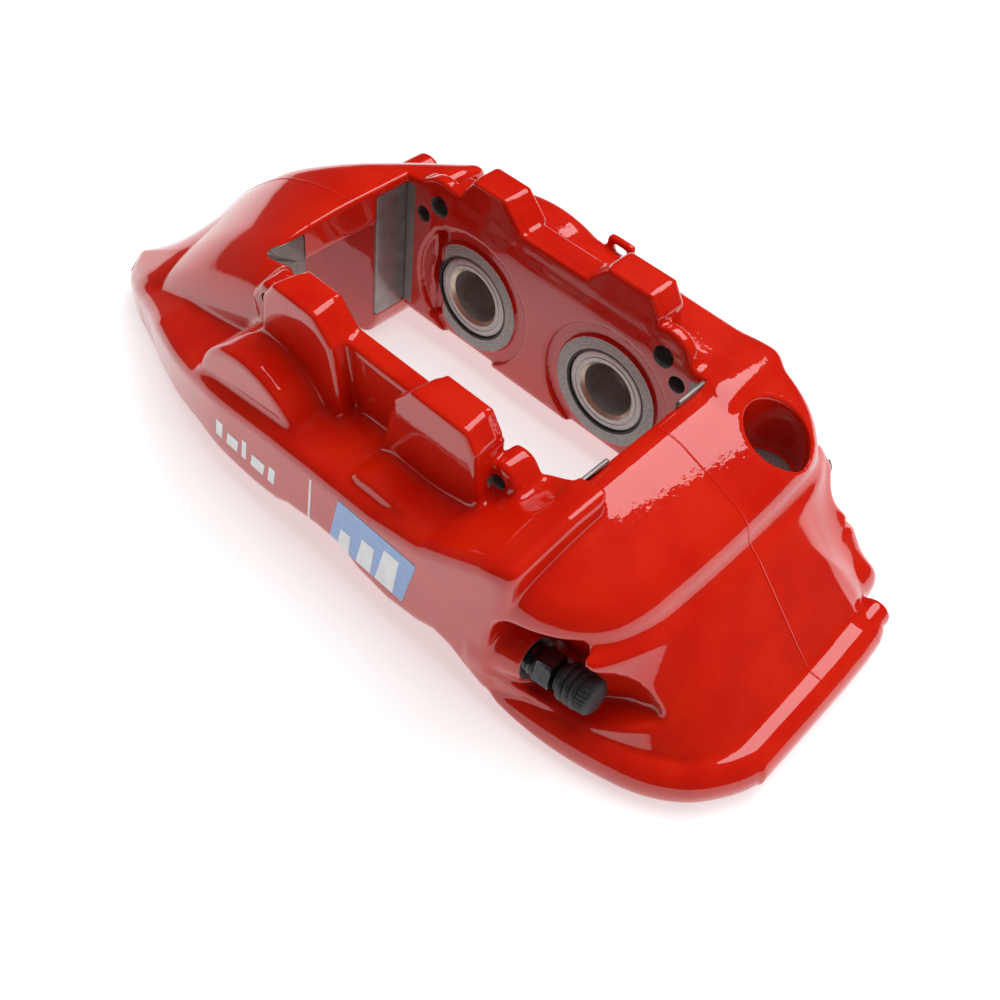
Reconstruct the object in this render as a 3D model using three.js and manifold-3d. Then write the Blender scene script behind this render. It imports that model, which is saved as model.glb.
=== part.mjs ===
// Four-piston radial-mount brake caliper, cast in one piece, with its pistons, seals, pad
// abutment plates, bleed screws, caps and gallery plug.
//
// Millimetres. +Z points up, away from the wheel's axle. X runs along the caliper, with the
// bleed screws at the +X end. Y runs along the axle: -Y is the outboard half, whose face shows
// behind the wheel, and +Y is the inboard half, which bolts to the upright.
// Work is done about the disc's mid-plane (y = 0) with z = 0 at the mounting feet, and the
// whole group is then moved so that the origin is the bottom centre of its box.
import * as THREE from 'three';
import { mergeVertices } from 'three/addons/utils/BufferGeometryUtils.js';
import Module from 'manifold-3d';

const wasm = await Module();
wasm.setup();

// ---- driving dimensions ---------------------------------------------------------------------
const GAP = 0.3;              // clearance kept between neighbouring pieces
const FAR_OUT = 100;          // beyond every face of the casting, for cuts that run right out

const HALF_LENGTH = 153.5;    // end of the casting, from the middle
const OUTBOARD_Y = -71;       // outboard face
const INBOARD_Y = 67;         // back of the inboard piston lobes
const DECK_Z = 71;            // top of the bridges beside the window

const WINDOW_HALF_X = 66;     // pad window, plate face to plate face is 132 mm
const WINDOW_HALF_Y = 31.4;   // inner walls
const DISC_HALF_SLOT = 16.2;  // half width of the slot that the disc turns in
const DISC_SLOT_R = 167;      // roof of the slot: a 330 mm disc with 2 mm to spare
const DISC_CENTRE_Z = -96.4;

const PISTON_X = 31.9;
const PISTON_Z = 35.6;
const PISTON_R = 15.875;      // 1 1/4 inch pistons
const PISTON_HOLLOW_R = 10.2;
const PISTON_LENGTH = 22;
const PISTON_RECESS = 1.5;    // face below the inner wall when fully back
const PISTON_FLOOR = 4;       // solid back of the cup
const BORE_DEPTH = 25;        // from the inner wall
const LOBE_R = 26;            // cylinder wall outside each bore
const LOBE_RECESS_R = 26.5;   // shallow round recess in the inner wall
const LOBE_RECESS_DEPTH = 2;
const SPOT_FACE_R = 21.4;     // machined ring around the bore mouth
const SPOT_FACE_DEPTH = 0.8;

const DUST_GROOVE_R = 18;
const DUST_GROOVE_WIDTH = 3.4;
const SEAL_GROOVE_R = 19.2;
const SEAL_GROOVE_START = 8;  // from the inner wall
const SEAL_GROOVE_WIDTH = 4;

const PLATE_THICK = 1.2;
const PLATE_Z = [14, 68];

const BOLT_X = 92.5;
const BOLT_Y = 37;
const BOLT_ACCESS_R = 11.7;
const BOLT_HOLE_R = 6.25;     // clears an M12 bolt
const BOLT_SEAT_Z = 41;

const BEAD_X = 145.5;         // rounded edge along each end
const BEAD_R = 8;

const PIN_X = 50.2;           // pad pin holes: large in the inboard wall, small in the outboard
const PIN_Z = 65.8;
const PIN_HOLE_R = 4;
const PIN_TIP_R = 2.6;
const SPRING_HOLE = [57.6, 59]; // blind holes below the pin holes (|x|, z)
const SPRING_HOLE_R = 3.2;

const INLET = [-88, 48];      // fluid inlet boss on the inboard face (x, z)
const INLET_BOSS_R = 8;
const INLET_PORT_R = 4;
const INLET_FACE_Y = 66;

const GALLERY_X = 144;        // fluid passage drilled along the right-hand bead
const GALLERY_Z = 9.5;
const GALLERY_R = 2;
const GALLERY_STUB_R = 5.6;
const GALLERY_END_Y = 46;
const PLUG_R = 3.4;
const PLUG_DEPTH = 8;

const BLEED_START = [84, 60.2, 28.4]; // mouth of the threaded hole (x, |y|, z)
const BLEED_TILT = 13;        // degrees above +X
const BLEED_THREAD_R = 5;     // M10
const BLEED_SEAT_DEPTH = 15;
const BLEED_HEX_AF = 11;

// ---- helpers --------------------------------------------------------------------------------
function solid(geometry) {
  const bare = geometry.clone();
  bare.deleteAttribute('normal');
  bare.deleteAttribute('uv');
  const merged = mergeVertices(bare, 1e-4);
  return new wasm.Manifold(new wasm.Mesh({
    numProp: 3,
    vertProperties: new Float32Array(merged.attributes.position.array),
    triVerts: new Uint32Array(merged.index.array),
  }));
}

function geometryOf(manifold) {
  const mesh = manifold.getMesh();
  const geometry = new THREE.BufferGeometry();
  geometry.setAttribute('position', new THREE.BufferAttribute(mesh.vertProperties, 3));
  geometry.setIndex(new THREE.BufferAttribute(mesh.triVerts, 1));
  geometry.computeVertexNormals();
  return geometry;
}

const outline = (points) => new THREE.Shape(points.map(([a, b]) => new THREE.Vector2(a, b)));

// An outline in (x, z), extruded from y0 to y1.
function alongY(points, y0, y1) {
  const geometry = new THREE.ExtrudeGeometry(outline(points), { depth: y1 - y0, bevelEnabled: false });
  return solid(geometry.rotateX(Math.PI / 2).translate(0, y1, 0));
}

// An outline in (x, y), extruded from z0 to z1.
function alongZ(points, z0, z1) {
  const geometry = new THREE.ExtrudeGeometry(outline(points), { depth: z1 - z0, bevelEnabled: false });
  return solid(geometry.translate(0, 0, z0));
}

function block([x0, x1], [y0, y1], [z0, z1]) {
  const geometry = new THREE.BoxGeometry(x1 - x0, y1 - y0, z1 - z0);
  return solid(geometry.translate((x0 + x1) / 2, (y0 + y1) / 2, (z0 + z1) / 2));
}

function rodY(x, z, r, y0, y1, sides = 32) {
  const geometry = new THREE.CylinderGeometry(r, r, Math.abs(y1 - y0), sides);
  return solid(geometry.translate(x, (y0 + y1) / 2, z));
}

function rodZ(x, y, r, z0, z1, sides = 32) {
  const geometry = new THREE.CylinderGeometry(r, r, z1 - z0, sides).rotateX(Math.PI / 2);
  return solid(geometry.translate(x, y, (z0 + z1) / 2));
}

// A closed profile of (radius, distance along the axis), turned about +Y.
function turned(profile, sides = 32) {
  const points = [...profile, profile[0]].map(([r, s]) => new THREE.Vector2(r, s));
  return new THREE.LatheGeometry(points, sides);
}

// Everything on the side of a plane its normal points to.
function beyond({ normal, through }) {
  const size = 2 * FAR_OUT;
  const turn = new THREE.Quaternion()
    .setFromUnitVectors(new THREE.Vector3(0, 0, 1), new THREE.Vector3(...normal).normalize());
  const geometry = new THREE.BoxGeometry(size, size, size).translate(0, 0, size / 2).applyQuaternion(turn);
  return solid(geometry.translate(...through));
}

const join = (solids) => solids.reduce((all, next) => all.add(next));

// Both ends (or both halves) of the casting.
const MIRROR = [-1, 1];

// ---- casting --------------------------------------------------------------------------------
// Side view. The bridges slope away from the window to a step, then to the bead at each end.
function sideOutline() {
  const bead = (side) => [60, 30, 0, -30, -60, -90].map((degrees) => {
    const turn = THREE.MathUtils.degToRad(degrees);
    return [side * (BEAD_X + BEAD_R * Math.cos(turn)), BEAD_R + BEAD_R * Math.sin(turn)];
  });
  const right = [[WINDOW_HALF_X, DECK_Z], [70.5, 69.5], [106, 56.1], [110, 45.5], [142, 19], ...bead(1)];
  const left = [[-WINDOW_HALF_X, 70.3], [-81, 69.4], [-97, 63.8], [-113, 55.1], [-130, 36], [-143, 18],
    ...bead(-1)];
  const underside = [[76, 0], [70, 10], [-70, 10], [-76, 0]];
  return [...right, ...underside, ...left.reverse()].reverse();
}

// Plan view. The outboard face is bowed; the inboard half ends short of the beads.
const PLAN = [
  [-153.5, -32], [-147, -39], [-131, -46], [-112, -53], [-98, -60], [-78, -66], [-54, -70], [0, OUTBOARD_Y],
  [70, OUTBOARD_Y], [95, -69.6], [118, -65.5], [131, -60.8], [141.5, -54.5], [148.8, -42.6], [153.5, -34],
  [153.5, 36], [143, 37], [138, 50], [134, 58], [110, 60], [78, 62], [-78, 62], [-110, 60], [-134, 58],
  [-138, 50], [-143, 37], [-153.5, 36],
];

// Everything above this line is open on the outboard side of the towers: a shoulder that
// climbs from the left end, the channel behind it, and the panel around the bleed screw.
const SHOULDER = [
  [-170, 10], [-147, 15], [-98, 30], [-54, 42], [0, 48], [45, 53], [62, 62], [76, 66], [82, 48], [104, 47],
  [110, 45.5], [145, 16], [170, 10], [170, 120], [-170, 120],
];
const SHOULDER_Y = -46.5;

const RIDGE_Z = 75.9;
const RIDGE_BACK_Y = 41;      // inboard ridge, from the inner wall
const RIDGE_FRONT_Y = -38.5;  // the outboard ridge stands back from the inner wall
const INNER_LIP_Z = 63;       // top of the outboard inner wall
const LEDGE_Z = 67;           // top of the inboard half behind the ridge
const TOWER_Z = 84.5;
const TOWERS = [
  [[-44, 50], [-41, 77.3], [-36, TOWER_Z], [-21.5, TOWER_Z], [-12, RIDGE_Z], [-9, 50]],
  [[13, 50], [15.6, RIDGE_Z], [22.8, TOWER_Z], [40.7, TOWER_Z], [45.5, 77.7], [48, 50]],
];
const RIDGE = [[-WINDOW_HALF_X, 60], [-WINDOW_HALF_X, DECK_Z], [-56.5, 72.8], [-50, 75.3], [-43, RIDGE_Z],
  [45.5, RIDGE_Z], [50, 75.3], [56.5, 72.8], [WINDOW_HALF_X, DECK_Z], [WINDOW_HALF_X, 60]];

const BLEED_POCKET = [[78, 19], [110, 24], [132, 36], [126, 44], [96, 48], [82, 46]];
const BLEED_POCKET_Y = 51;

// Lower edge of the outboard face: two lobes under the pistons between raised stretches.
const LOWER_EDGE = [[-112, -1], [-80, 11], [-63, 14], [-50, 12.5], [-20, 13], [0, 19], [12, 19.5], [20, 15],
  [46, 15], [53, 18], [70, 12], [98, 3], [112, -1]];
const LOWER_EDGE_Y = -40;

// The left bridge falls away behind this facet, from its crest to the inboard foot.
const LEFT_FACET = { normal: [-0.587, 0.558, 0.587], through: [-113, 4.8, 60] };

function bossesAndRidges() {
  const parts = [];
  for (const tower of TOWERS) {
    parts.push(alongY(tower, -52, RIDGE_FRONT_Y), alongY(tower, WINDOW_HALF_Y, 45));
  }
  parts.push(alongY(RIDGE, SHOULDER_Y, RIDGE_FRONT_Y), alongY(RIDGE, WINDOW_HALF_Y, RIDGE_BACK_Y));
  for (const side of MIRROR) {
    const x = side * PISTON_X;
    parts.push(rodY(x, PISTON_Z, LOBE_R, -68, -40, 32), rodY(x, PISTON_Z, LOBE_R, 40, INBOARD_Y, 32));
  }
  // fluid inlet boss and hose-clip lug on the inboard face
  parts.push(rodY(...INLET, INLET_BOSS_R, 50, INLET_FACE_Y, 24));
  parts.push(block([4, 14], [58, 66], [40, 70]).subtract(rodY(9, 63, 3, 50, 80, 20)));
  // end of the drilled fluid passage
  parts.push(rodY(GALLERY_X, GALLERY_Z, GALLERY_STUB_R, 20, GALLERY_END_Y, 24));
  return join(parts);
}

function boreCut(x, half) {
  const wall = half * WINDOW_HALF_Y;
  const at = (depth) => wall + half * depth;
  return join([
    rodY(x, PISTON_Z, PISTON_R + GAP, at(-1), at(BORE_DEPTH), 32),
    rodY(x, PISTON_Z, DUST_GROOVE_R, at(-1), at(DUST_GROOVE_WIDTH), 32),
    rodY(x, PISTON_Z, SEAL_GROOVE_R, at(SEAL_GROOVE_START), at(SEAL_GROOVE_START + SEAL_GROOVE_WIDTH), 32),
  ]);
}

function recessCut(x, half) {
  const wall = half * WINDOW_HALF_Y;
  const recess = rodY(x, PISTON_Z, LOBE_RECESS_R, wall - half, wall + half * LOBE_RECESS_DEPTH, 32);
  const ring = rodY(x, PISTON_Z, SPOT_FACE_R, wall + half * SPOT_FACE_DEPTH, wall + half * 5, 32);
  return recess.subtract(ring);
}

function caliperBody() {
  let body = alongY(sideOutline(), -FAR_OUT, FAR_OUT).intersect(alongZ(PLAN, -1, FAR_OUT));
  body = body.subtract(alongY(SHOULDER, -FAR_OUT, SHOULDER_Y));
  body = body.subtract(block([-42, 42], [RIDGE_BACK_Y, FAR_OUT], [LEDGE_Z, FAR_OUT]));
  body = body.subtract(beyond(LEFT_FACET)).subtract(alongY(LOWER_EDGE, -FAR_OUT, LOWER_EDGE_Y));
  body = body.add(bossesAndRidges());

  const cuts = [
    block([-WINDOW_HALF_X, WINDOW_HALF_X], [-WINDOW_HALF_Y, WINDOW_HALF_Y], [-1, FAR_OUT]),
    block([-56, 56], [RIDGE_FRONT_Y, -31], [INNER_LIP_Z, FAR_OUT]),
    rodY(0, DISC_CENTRE_Z, DISC_SLOT_R, -DISC_HALF_SLOT, DISC_HALF_SLOT, 144),
    rodY(GALLERY_X, GALLERY_Z, GALLERY_R, -30, GALLERY_END_Y + 1, 12),
    rodY(GALLERY_X, GALLERY_Z, PLUG_R + GAP, GALLERY_END_Y - PLUG_DEPTH - GAP, GALLERY_END_Y + 1, 24),
    rodY(...INLET, INLET_PORT_R, INLET_FACE_Y - 12, INLET_FACE_Y + 1, 16),
  ];
  for (const side of MIRROR) {
    cuts.push(
      rodZ(side * BOLT_X, BOLT_Y, BOLT_HOLE_R, -1, FAR_OUT, 24),
      rodZ(side * BOLT_X, BOLT_Y, BOLT_ACCESS_R, BOLT_SEAT_Z, FAR_OUT, 32),
      rodY(side * PIN_X, PIN_Z, PIN_HOLE_R, 30, FAR_OUT, 16),
      rodY(side * PIN_X, PIN_Z, PIN_TIP_R, -FAR_OUT, -30, 12),
      rodY(side * SPRING_HOLE[0], SPRING_HOLE[1], SPRING_HOLE_R, 30, 44, 12),
    );
    for (const half of MIRROR) {
      cuts.push(boreCut(side * PISTON_X, half), recessCut(side * PISTON_X, half));
      const seat = [WINDOW_HALF_X - 1, WINDOW_HALF_X + PLATE_THICK + GAP].map((x) => x * side);
      const across = [DISC_HALF_SLOT - 1, WINDOW_HALF_Y].map((y) => y * half);
      const up = [PLATE_Z[0] - GAP, PLATE_Z[1] + GAP];
      cuts.push(block(seat.sort((a, b) => a - b), across.sort((a, b) => a - b), up));
    }
  }
  for (const half of MIRROR) {
    const pocket = half < 0 ? [-FAR_OUT, -BLEED_POCKET_Y] : [BLEED_POCKET_Y, FAR_OUT];
    cuts.push(alongY(BLEED_POCKET, ...pocket));
    const hole = new THREE.CylinderGeometry(BLEED_THREAD_R + GAP, BLEED_THREAD_R + GAP, 2 * BLEED_SEAT_DEPTH, 16);
    cuts.push(solid(hole.applyMatrix4(bleedMatrix(half))));
  }
  return body.subtract(join(cuts));
}

// ---- bleed screws ---------------------------------------------------------------------------
// Takes +Y of a turned piece to the bleed screw's axis, and its origin to the hole's mouth.
function bleedMatrix(half) {
  const tilt = THREE.MathUtils.degToRad(BLEED_TILT);
  const direction = new THREE.Vector3(Math.cos(tilt), 0, Math.sin(tilt));
  const turn = new THREE.Quaternion().setFromUnitVectors(new THREE.Vector3(0, 1, 0), direction);
  const [x, y, z] = BLEED_START;
  return new THREE.Matrix4().compose(new THREE.Vector3(x, half * y, z), turn, new THREE.Vector3(1, 1, 1));
}

function bleedScrew() {
  const stem = turned([[0, -13], [2, -13], [BLEED_THREAD_R - 1, -10], [BLEED_THREAD_R, -9], [BLEED_THREAD_R, 3],
    [3.6, 3.5], [3.6, 13], [2.6, 15], [3.4, 17.5], [2.4, 19.5], [0, 19.5]], 16);
  const hexRadius = BLEED_HEX_AF / 2 / Math.cos(Math.PI / 6);
  const hex = new THREE.CylinderGeometry(hexRadius, hexRadius, 6, 6).translate(0, 6.4, 0);
  return geometryOf(solid(stem).add(solid(hex)));
}

function bleedCap() {
  const rib = (s) => [[5.4, s], [6.2, s + 0.6], [6.2, s + 1.6], [5.4, s + 2.2]];
  return turned([[3.9, 10.2], [5.4, 10.2], ...rib(11), ...rib(14), ...rib(17), [5.4, 21], [4.4, 22.6], [0, 23],
    [0, 19.9], [3.9, 19.9]], 20);
}

// ---- pieces inside each bore ----------------------------------------------------------------
function piston() {
  const end = PISTON_LENGTH;
  return turned([[PISTON_HOLLOW_R + 1.2, 0], [PISTON_R - 0.8, 0], [PISTON_R, 0.8], [PISTON_R, end - 1],
    [PISTON_R - 1, end], [0, end], [0, end - PISTON_FLOOR], [PISTON_HOLLOW_R, end - PISTON_FLOOR],
    [PISTON_HOLLOW_R, 1.2]]);
}

function ring(inner, outer, start, end) {
  return turned([[inner, start], [outer, start], [outer, end], [inner, end]]);
}

// ---- assembly -------------------------------------------------------------------------------
const PAINT = { color: 0xc41408, roughness: 0.22, metalness: 0.1 };
const STEEL = { color: 0x9a9a98, roughness: 0.35, metalness: 0.9 };
const PLATE = { color: 0x77746c, roughness: 0.45, metalness: 0.85 };
const BLACK_OXIDE = { color: 0x1d1d20, roughness: 0.35, metalness: 0.7 };
const RUBBER = { color: 0x101012, roughness: 0.7, metalness: 0 };

const assembly = new THREE.Group();
const caliper = new THREE.Group();
caliper.position.set(0, -(OUTBOARD_Y + INBOARD_Y) / 2, 0);
assembly.add(caliper);

function addPiece(name, geometry, finish) {
  const mesh = new THREE.Mesh(geometry, new THREE.MeshStandardMaterial(finish));
  mesh.name = name;
  caliper.add(mesh);
  return mesh;
}

addPiece('caliper_body', geometryOf(caliperBody()), PAINT);

for (const half of MIRROR) {
  const halfName = half < 0 ? 'outboard' : 'inboard';
  for (const side of MIRROR) {
    const name = `${halfName}_${side < 0 ? 'left' : 'right'}`;
    // Pieces turned about +Y start at the inner wall and run into the bore.
    const inBore = (mesh) => {
      mesh.position.set(side * PISTON_X, half * WINDOW_HALF_Y, PISTON_Z);
      mesh.rotation.x = half < 0 ? Math.PI : 0;
    };
    inBore(addPiece(`piston_${name}`, piston().translate(0, PISTON_RECESS, 0), STEEL));
    inBore(addPiece(`pressure_seal_${name}`,
      ring(PISTON_R + GAP, SEAL_GROOVE_R - GAP, SEAL_GROOVE_START + GAP,
        SEAL_GROOVE_START + SEAL_GROOVE_WIDTH - GAP), RUBBER));
    inBore(addPiece(`dust_seal_${name}`,
      ring(PISTON_R + GAP, DUST_GROOVE_R - GAP, SPOT_FACE_DEPTH + GAP, DUST_GROOVE_WIDTH - GAP), RUBBER));

    const plateWidth = WINDOW_HALF_Y - DISC_HALF_SLOT - 2 * GAP;
    const plate = new THREE.BoxGeometry(PLATE_THICK, plateWidth, PLATE_Z[1] - PLATE_Z[0]);
    addPiece(`abutment_plate_${name}`, plate, PLATE).position.set(
      side * (WINDOW_HALF_X + PLATE_THICK / 2), half * (WINDOW_HALF_Y + DISC_HALF_SLOT) / 2,
      (PLATE_Z[0] + PLATE_Z[1]) / 2);
  }
  addPiece(`bleed_screw_${halfName}`, bleedScrew().applyMatrix4(bleedMatrix(half)), BLACK_OXIDE);
  addPiece(`bleed_cap_${halfName}`, bleedCap().applyMatrix4(bleedMatrix(half)), RUBBER);
}

const plug = turned([[0, -PLUG_DEPTH], [PLUG_R, -PLUG_DEPTH], [PLUG_R, -0.5], [PLUG_R - 0.5, 0], [1.8, 0],
  [1.8, -3], [0, -3]], 20);
addPiece('gallery_plug', plug, STEEL).position.set(GALLERY_X, GALLERY_END_Y - GAP, GALLERY_Z);

export default assembly;
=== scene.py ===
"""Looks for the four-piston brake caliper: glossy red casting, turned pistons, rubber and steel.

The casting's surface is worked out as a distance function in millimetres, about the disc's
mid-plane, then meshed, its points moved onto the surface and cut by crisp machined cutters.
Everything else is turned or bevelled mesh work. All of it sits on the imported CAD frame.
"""
import math

import bmesh
import bpy
import numpy as np
import openvdb
from mathutils import Matrix, Vector


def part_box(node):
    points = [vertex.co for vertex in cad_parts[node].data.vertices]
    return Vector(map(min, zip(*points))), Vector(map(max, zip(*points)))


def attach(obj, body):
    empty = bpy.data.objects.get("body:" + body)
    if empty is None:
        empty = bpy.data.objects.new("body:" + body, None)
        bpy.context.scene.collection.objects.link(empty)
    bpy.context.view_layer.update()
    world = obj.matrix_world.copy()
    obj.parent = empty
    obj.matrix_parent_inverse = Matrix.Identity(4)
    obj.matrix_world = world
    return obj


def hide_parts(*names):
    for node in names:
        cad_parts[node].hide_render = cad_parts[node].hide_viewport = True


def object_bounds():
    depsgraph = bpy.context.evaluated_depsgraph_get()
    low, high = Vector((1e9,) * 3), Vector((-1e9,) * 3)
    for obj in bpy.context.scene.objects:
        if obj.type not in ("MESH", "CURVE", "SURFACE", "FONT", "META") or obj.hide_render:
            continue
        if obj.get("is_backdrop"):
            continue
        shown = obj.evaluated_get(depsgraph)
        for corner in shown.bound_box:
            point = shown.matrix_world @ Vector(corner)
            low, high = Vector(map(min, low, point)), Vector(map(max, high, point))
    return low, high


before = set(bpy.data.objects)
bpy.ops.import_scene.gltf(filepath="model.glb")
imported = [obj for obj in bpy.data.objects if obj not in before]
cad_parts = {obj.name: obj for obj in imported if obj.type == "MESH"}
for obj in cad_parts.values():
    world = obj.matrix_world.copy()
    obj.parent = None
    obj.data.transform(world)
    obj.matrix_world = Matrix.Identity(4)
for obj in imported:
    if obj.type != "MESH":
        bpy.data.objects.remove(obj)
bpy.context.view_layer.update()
MM = 0.001

# ---- places read from the frame ---------------------------------------------------------------


def box_centre(node):
    low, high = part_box(node)
    return (low + high) / 2


MIDPLANE_Y = (box_centre("piston_outboard_left").y + box_centre("piston_inboard_left").y) / 2
PISTON_X = box_centre("piston_inboard_right").x / MM
PISTON_Z = box_centre("piston_inboard_right").z / MM

# ---- casting dimensions, millimetres about the disc's mid-plane ------------------------------
WINDOW_X = 66.0
WINDOW_Y = 31.4
SLOT_Y = 16.2
SLOT_R = 167.0
DISC_Z = -96.4
DECK_Z = 71.0
DECK_FALL = 0.3725        # the right bridge's slope
BEAD_R = 8.0
TOWER_Z = 84.5
CLEAR = 0.2               # how far the looks stay below the tallest towers and inside the back
LOBE_R = 26.0
UNDERSIDE_Z = 10.0
BACK_Y = 67.0 - CLEAR
BOLT_X, BOLT_Y = 92.5, 37.0
BOLT_ACCESS_R = 11.7
GALLERY_X, GALLERY_Z, GALLERY_END = 144.0, 9.5, 46.0
BOLT_SEAT_Z = 41.0
BORE_R, LIP_R, DUST_R, SEAL_R, SPOT_R = 15.95, 16.75, 18.0, 19.2, 21.4
PLATE_T, PLATE_LOW, PLATE_HIGH = 1.2, 13.9, 68.1
PIN_R, PIN_TIP_R = 4.0, 2.6
SPRING_X, SPRING_Z, SPRING_R = 57.6, 59.0, 3.2

# the casting's outline seen from above, and that of its right end above and below the step
SKIRT = [(-153, -28), (-150.6, -34), (-145, -39.6), (-129, -46.6), (-112, -53), (-98, -58.8),
         (-78, -65.4), (-54, -70), (-30, -70.8), (0, -71), (35, -71), (70, -70.8), (95, -68.8),
         (116, -64.4), (129.5, -59.4),
         (140, -51.6), (147.2, -41.6), (151, -33), (152, -26), (152, 36), (144, 37.5), (139, 46),
         (137, 57), (128, 58.5), (110, 60), (78, 62), (0, 63), (-78, 62), (-110, 60), (-128, 58.5),
         (-137, 57), (-139, 46), (-144, 37.5), (-153, 36)]
# height of the outboard face's lower edge along the casting: two lobes between raised stretches
BOTTOM_X = [-135, -112, -80, -63, -50, -32, -20, -14, 0, 12, 20, 33, 46, 53, 60, 70, 80, 98, 112]
BOTTOM_Z = [0, 5, 11, 14, 12.5, 12, 13.5, 16.5, 19, 19.5, 15, 13, 15, 18, 17, 12, 7, 3, 0]
STEP = [(20, -78), (40, -77), (56, -75.4), (66, -73.4), (74, -71.2), (81, -68.6), (88, -65.2),
        (95, -60.6), (101.5, -53), (105, -43), (106.5, -30), (107.5, 0), (107, 30), (105.5, 44),
        (101, 52),
        (92, 58.5), (78, 62), (60, 63), (20, 63)]
CREASE = [(60, -63), (86, -63.5), (97, -62.5), (118, -57), (130, -51.5), (137.5, -45.5), (141.8, -36),
          (143, -24), (143, 30), (141.5, 38), (138.5, 44), (132, 48.5), (118, 51.5), (100, 55), (60, 55)]


def smax(a, b, k):
    h = np.maximum(k - np.abs(a - b), 0) / k
    return np.maximum(a, b) + h * h * k / 4


def smin(a, b, k):
    return -smax(-a, -b, k)


def polygon(px, py, points):
    """Signed distance to a closed outline, negative inside."""
    near = None
    sign = None
    for (ax, ay), (bx, by) in zip(points, points[-1:] + points[:-1]):
        ex, ey = bx - ax, by - ay
        wx, wy = px - ax, py - ay
        t = np.clip((wx * ex + wy * ey) / (ex * ex + ey * ey), 0, 1)
        d = (wx - ex * t) ** 2 + (wy - ey * t) ** 2
        above, below, left = py >= ay, py < by, ex * wy > ey * wx
        flip = (above & below & left) | (~above & ~below & ~left)
        sign = np.where(flip, -1.0, 1.0) * (1.0 if sign is None else sign)
        near = d if near is None else np.minimum(near, d)
    return (sign * np.sqrt(near)).astype(np.float32)


def rounded(points, steps=5):
    """A smooth closed curve through the outline's points."""
    out = []
    n = len(points)
    for i in range(n):
        p0, p1, p2, p3 = (np.array(points[(i + j) % n], float) for j in (-1, 0, 1, 2))
        for s in range(steps):
            t = s / steps
            out.append(tuple(0.5 * (2 * p1 + (p2 - p0) * t + (2 * p0 - 5 * p1 + 4 * p2 - p3) * t * t
                                    + (3 * p1 - p0 - 3 * p2 + p3) * t ** 3)))
    return out


def table(points):
    """Distances to a rounded outline on a half-millimetre plan grid."""
    x, y = (np.arange(-PLAN_REACH, PLAN_REACH + PLAN_STEP, PLAN_STEP) for _ in "xy")
    return polygon(x[:, None], y[None, :], rounded(points))


def tabled(values, x, y):
    """A plan table read between its points."""
    px, py = (np.clip((v + PLAN_REACH) / PLAN_STEP, 0, len(values) - 1.001)
              for v in np.broadcast_arrays(x, y))
    i, j = px.astype(int), py.astype(int)
    fx, fy = px - i, py - j
    near = values[i, j] * (1 - fy) + values[i, j + 1] * fy
    far = values[i + 1, j] * (1 - fy) + values[i + 1, j + 1] * fy
    return near * (1 - fx) + far * fx


def slab(v, low, high):
    return np.maximum(low - v, v - high)


def plane(x, y, z, normal, through):
    n = np.array(normal, float)
    n = n / np.linalg.norm(n)
    return n[0] * (x - through[0]) + n[1] * (y - through[1]) + n[2] * (z - through[2])


PLAN_REACH, PLAN_STEP = 165.0, 0.5
SKIRT_TABLE, STEP_TABLE, CREASE_TABLE = table(SKIRT), table(STEP), table(CREASE)
# height of the outboard half's shoulder along the casting
SHOULDER_X = [-170, -147, -120, -98, -54, -20, 0, 26, 45, 57, 67, 76]
SHOULDER_Z = [3, 9, 21, 30, 42, 46.5, 48, 49.5, 54, 61, 67, 70]
TOWERS = [
    [(-47, 40), (-41.5, 76.5), (-36, 84.5), (-21.5, 84.5), (-12.5, 76), (-6, 40)],
    [(9, 40), (15.6, 75.9), (22.8, 84.5), (40.7, 84.5), (45.5, 77.7), (52, 40)],
]
RIDGE = [(-47, 40), (-46, 75.9), (46, 75.9), (47, 40)]
PIN_X, PIN_Z = 50.2, 65.8
PIN_BOSS_R = 10.2
RECESS_R, RECESS_DEPTH = 26.5, 2.0
INLET_X, INLET_Z = -88, 46.5
BLEED_MOUTH = (84.0, 60.2, 28.4)
BLEED_TILT = math.radians(13)


def outboard_half(x, y, z):
    """Below its shoulder and beside the right bridge; the skirt trims its face."""
    shoulder = np.interp(x, SHOULDER_X, SHOULDER_Z) + 0.15 * np.clip(y + 70, 0, 25)
    return smax(smax(z - shoulder, y + 30, 1), x - 78, 5)


def rim(x, y, z, skirt):
    """The rounded bead round the foot of the casting, lower round the outboard left tip."""
    drop = 6.5 * np.clip((-112 - x) / 28, 0, 1) * np.clip(-y / 20, 0, 1)
    return np.hypot(np.maximum(skirt + BEAD_R, 0), z + drop - BEAD_R) - BEAD_R


def right_bridge(x, y, z):
    """A sloping deck whose outboard corner rolls over, the step below it and the end panel."""
    deck = (z - DECK_Z + DECK_FALL * (x - WINDOW_X)) / math.hypot(1, DECK_FALL)
    corner = plane(x, y, z, (0.338, -0.435, 1), (75.6, -48.5, 68))
    rise = plane(x, y, z, (-0.55, 0, 1), (45, 0, 54))
    top = smax(smax(deck, corner, 8), rise, 6)
    step = tabled(STEP_TABLE, x, y)
    share = np.clip((47 - z) / 33, 0, 1.2)
    upper, lower = tabled(STEP_TABLE, x, y * np.where(y < 0, 0.93, 1.0)) - 3, tabled(CREASE_TABLE, x, y)
    panel = smax(((1 - share) * upper + share * lower) * 0.8, z - 48, 4)
    return smin(smax(step, top, 8), panel, 3)


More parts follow.
